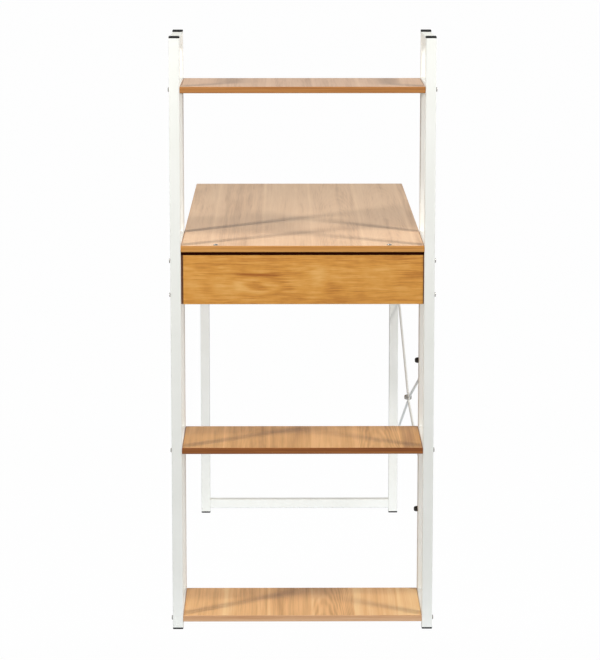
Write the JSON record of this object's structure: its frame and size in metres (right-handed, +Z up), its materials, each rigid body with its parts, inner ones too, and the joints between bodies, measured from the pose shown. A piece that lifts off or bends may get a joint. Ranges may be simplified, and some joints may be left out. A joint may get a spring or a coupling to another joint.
{
  "type": "desk with shelf tower",
  "caption": "Narrow writing desk on a white square-tube frame, with a tower of open wood shelves at one end, an apron under the desktop and a crossed-rod brace on one side.",
  "frame": {"origin": "middle of the object's outline, on the floor", "axes": "+Z up; +Y along the desktop, away from the shelf tower; +X across it, to the right seen from the tower's end, towards the crossed rods"},
  "size_m": [0.5082, 1.02, 1.14],
  "materials": {
    "white_powder_coat": "satin white powder coat",
    "oak_laminate": "satin oak laminate on particle board",
    "black_plastic": "moulded black plastic",
    "black_oxide_steel": "black oxide",
    "zinc_steel": "bright zinc plate"
  },
  "bodies": {
    "root": {"apron": "oak_laminate", "apron_side_screws": "zinc_steel", "apron_top_screws": "zinc_steel", "bottom_shelf": "oak_laminate", "bottom_shelf_screws": "zinc_steel", "brace_bolts": "zinc_steel", "brace_crossing_bolt": "zinc_steel", "brace_crossing_nut": "zinc_steel", "brace_nuts": "black_oxide_steel", "brace_rod_falling": "white_powder_coat", "brace_rod_rising": "white_powder_coat", "cap_far_left": "black_plastic", "cap_far_right": "black_plastic", "cap_near_left": "black_plastic", "cap_near_right": "black_plastic", "desktop": "oak_laminate", "end_foot_left": "black_plastic", "end_foot_right": "black_plastic", "end_leg_left": "white_powder_coat", "end_leg_right": "white_powder_coat", "end_rail_bottom": "white_powder_coat", "end_rail_top": "white_powder_coat", "foot_far_left": "black_plastic", "foot_far_right": "black_plastic", "foot_near_left": "black_plastic", "foot_near_right": "black_plastic", "lower_shelf": "oak_laminate", "lower_shelf_screws": "zinc_steel", "rail_bottom_left": "white_powder_coat", "rail_bottom_right": "white_powder_coat", "rail_desk_left": "white_powder_coat", "rail_desk_right": "white_powder_coat", "rail_lower_left": "white_powder_coat", "rail_lower_right": "white_powder_coat", "rail_top_left": "white_powder_coat", "rail_top_right": "white_powder_coat", "rail_upper_left": "white_powder_coat", "rail_upper_right": "white_powder_coat", "top_shelf": "oak_laminate", "top_shelf_screws": "zinc_steel", "tower_cross_tube": "white_powder_coat", "under_desk_tube_left": "white_powder_coat", "under_desk_tube_right": "white_powder_coat", "upright_far_left": "white_powder_coat", "upright_far_right": "white_powder_coat", "upright_near_left": "white_powder_coat", "upright_near_right": "white_powder_coat"}
  },
  "joints": []
}
